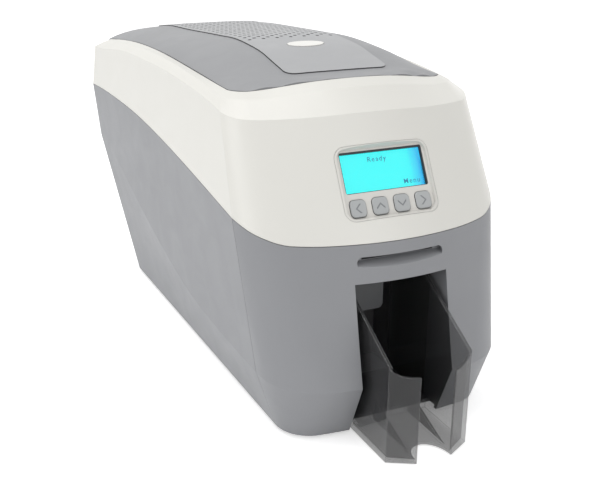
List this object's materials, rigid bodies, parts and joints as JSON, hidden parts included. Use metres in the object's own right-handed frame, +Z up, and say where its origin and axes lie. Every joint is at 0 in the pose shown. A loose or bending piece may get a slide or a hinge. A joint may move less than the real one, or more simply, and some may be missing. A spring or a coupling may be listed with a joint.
{
  "type": "card printer",
  "caption": "Desktop plastic card printer with a hinged vented lid, leaning display with keys, hand feed slot and a smoked card hopper in the front.",
  "frame": {"origin": "on the table under the middle of the printer's bounding box, hopper included", "axes": "+X to the right seen from the front, +Y from the front to the rear, +Z up"},
  "size_m": [0.206, 0.4696, 0.2488],
  "materials": {
    "shell_white": "fine satin moulding",
    "case_grey": "fine textured moulding",
    "lid_grey": "fine textured moulding",
    "strip_grey": "satin",
    "key_grey": "satin",
    "clear_glass": "clear",
    "screen_blue": "backlit panel",
    "board_green": "lacquered board",
    "dark_plastic": "moulded",
    "smoked_plastic": "smoked clear moulding",
    "ribbon_dark": "coated film",
    "rubber_black": "ground",
    "steel": "zinc plated",
    "heatsink_alloy": "extruded",
    "ceramic_white": "glazed"
  },
  "bodies": {
    "casing": {"base_tray": "case_grey", "front_bezel": "case_grey", "side_cover_left": "case_grey", "side_cover_right": "case_grey", "rear_panel": "case_grey", "upper_shell": "shell_white", "lid_hinge_pins": "steel", "display_bezel": "shell_white", "display_window": "clear_glass", "lcd_module": "screen_blue", "keypad_board": "board_green", "hopper_bay": "dark_plastic", "card_gate": "key_grey", "card_tray": "dark_plastic", "rubber_feet": "rubber_black", "case_screws": "steel", "chassis_plate_left": "steel", "chassis_plate_right": "steel", "chassis_tie_bars": "steel", "shaft_bushes": "dark_plastic", "latch_striker": "steel", "drive_motor": "steel", "drive_belt": "rubber_black", "ribbon_motor_plate": "steel", "ribbon_motor": "steel", "ribbon_film": "ribbon_dark", "main_board": "board_green", "power_supply": "steel", "power_inlet": "dark_plastic", "usb_socket": "dark_plastic", "network_socket": "dark_plastic", "switch_frame": "dark_plastic", "fan_frame": "dark_plastic"},
    "lid": {"top_lid": "lid_grey", "lid_vent_strip": "strip_grey", "latch_ears": "lid_grey", "print_head": "ceramic_white", "head_heat_sink": "heatsink_alloy", "print_head_bracket": "dark_plastic"},
    "button": {"lid_release_button": "shell_white"},
    "latch": {"lid_latch": "dark_plastic"},
    "hopper": {"card_hopper": "smoked_plastic"},
    "front_feed": {"feed_roller_front": "rubber_black"},
    "rear_feed": {"feed_roller_rear": "rubber_black"},
    "platen": {"platen_roller": "rubber_black"},
    "front_pinch": {"pinch_roller_front": "rubber_black"},
    "rear_pinch": {"pinch_roller_rear": "rubber_black"},
    "cleaner": {"cleaning_roller": "rubber_black"},
    "drive_shaft": {"motor_pulley": "dark_plastic"},
    "supply_spool": {"ribbon_supply_spool": "ribbon_dark"},
    "takeup_spool": {"ribbon_takeup_spool": "ribbon_dark", "takeup_gear": "dark_plastic"},
    "pinion": {"ribbon_pinion": "dark_plastic"},
    "rocker": {"power_rocker": "dark_plastic"},
    "fan": {"fan_rotor": "dark_plastic"},
    "key_left": {"key_left": "key_grey"},
    "key_up": {"key_up": "key_grey"},
    "key_down": {"key_down": "key_grey"},
    "key_right": {"key_right": "key_grey"}
  },
  "joints": [
    {"name": "lid_hinge", "type": "hinge", "parent": "casing", "child": "lid", "pos_m": [0, 0.22175, 0.207], "axis": [-1, 0, 0], "range_deg": [0, 75]},
    {"name": "release_button_press", "type": "slide", "parent": "lid", "child": "button", "axis": [0, 0, -1], "range_m": [0, 0.002], "stiffness_N_per_m": 400, "springref_m": -0.001},
    {"name": "latch_pivot", "type": "hinge", "parent": "lid", "child": "latch", "pos_m": [0, -0.00025, 0.229], "axis": [1, 0, 0], "range_deg": [0, 6]},
    {"name": "hopper_draw", "type": "slide", "parent": "casing", "child": "hopper", "axis": [0, -1, 0], "range_m": [0, 0.12]},
    {"name": "key_left_press", "type": "slide", "parent": "casing", "child": "key_left", "axis": [0, 0.8822, -0.4709], "range_m": [0, 0.0008], "stiffness_N_per_m": 300, "springref_m": -0.0005},
    {"name": "key_up_press", "type": "slide", "parent": "casing", "child": "key_up", "axis": [0, 0.8822, -0.4709], "range_m": [0, 0.0008], "stiffness_N_per_m": 300, "springref_m": -0.0005},
    {"name": "key_down_press", "type": "slide", "parent": "casing", "child": "key_down", "axis": [0, 0.8822, -0.4709], "range_m": [0, 0.0008], "stiffness_N_per_m": 300, "springref_m": -0.0005},
    {"name": "key_right_press", "type": "slide", "parent": "casing", "child": "key_right", "axis": [0, 0.8822, -0.4709], "range_m": [0, 0.0008], "stiffness_N_per_m": 300, "springref_m": -0.0005},
    {"name": "platen_spin", "type": "hinge", "parent": "casing", "child": "platen", "pos_m": [0, 0.02475, 0.118], "axis": [1, 0, 0], "continuous": true},
    {"name": "front_feed_spin", "type": "hinge", "parent": "casing", "child": "front_feed", "pos_m": [0, -0.06825, 0.12], "axis": [1, 0, 0], "continuous": true},
    {"name": "rear_feed_spin", "type": "hinge", "parent": "casing", "child": "rear_feed", "pos_m": [0, 0.11975, 0.12], "axis": [1, 0, 0], "continuous": true},
    {"name": "front_pinch_spin", "type": "hinge", "parent": "casing", "child": "front_pinch", "pos_m": [0, -0.06825, 0.1348], "axis": [1, 0, 0], "continuous": true},
    {"name": "rear_pinch_spin", "type": "hinge", "parent": "casing", "child": "rear_pinch", "pos_m": [0, 0.11975, 0.1348], "axis": [1, 0, 0], "continuous": true},
    {"name": "cleaner_spin", "type": "hinge", "parent": "casing", "child": "cleaner", "pos_m": [0, -0.11025, 0.1378], "axis": [1, 0, 0], "continuous": true},
    {"name": "drive_shaft_spin", "type": "hinge", "parent": "casing", "child": "drive_shaft", "pos_m": [0, 0.02475, 0.061], "axis": [1, 0, 0], "continuous": true},
    {"name": "supply_spin", "type": "hinge", "parent": "casing", "child": "supply_spool", "pos_m": [0, 0.08775, 0.168], "axis": [1, 0, 0], "continuous": true},
    {"name": "takeup_spin", "type": "hinge", "parent": "casing", "child": "takeup_spool", "pos_m": [0, -0.03725, 0.168], "axis": [1, 0, 0], "continuous": true},
    {"name": "pinion_spin", "type": "hinge", "parent": "casing", "child": "pinion", "pos_m": [0, -0.06125, 0.168], "axis": [1, 0, 0], "continuous": true},
    {"name": "fan_spin", "type": "hinge", "parent": "casing", "child": "fan", "pos_m": [-0.052, 0.22275, 0.153], "axis": [0, 1, 0], "continuous": true},
    {"name": "rocker_tilt", "type": "hinge", "parent": "casing", "child": "rocker", "pos_m": [0.024, 0.23275, 0.153], "axis": [1, 0, 0], "range_deg": [0, 16]}
  ],
  "couplings": [
    {"joint": "latch_pivot", "follows": "release_button_press", "rad_per_m": 50},
    {"joint": "front_feed_spin", "follows": "platen_spin", "ratio": 1.2222},
    {"joint": "rear_feed_spin", "follows": "platen_spin", "ratio": 1.2222},
    {"joint": "front_pinch_spin", "follows": "platen_spin", "ratio": -1.6296},
    {"joint": "rear_pinch_spin", "follows": "platen_spin", "ratio": -1.6296},
    {"joint": "cleaner_spin", "follows": "platen_spin", "ratio": -1.0864},
    {"joint": "drive_shaft_spin", "follows": "platen_spin", "ratio": 1.8333},
    {"joint": "takeup_spin", "follows": "supply_spin", "ratio": 1.3077},
    {"joint": "pinion_spin", "follows": "supply_spin", "ratio": -3.9231}
  ]
}
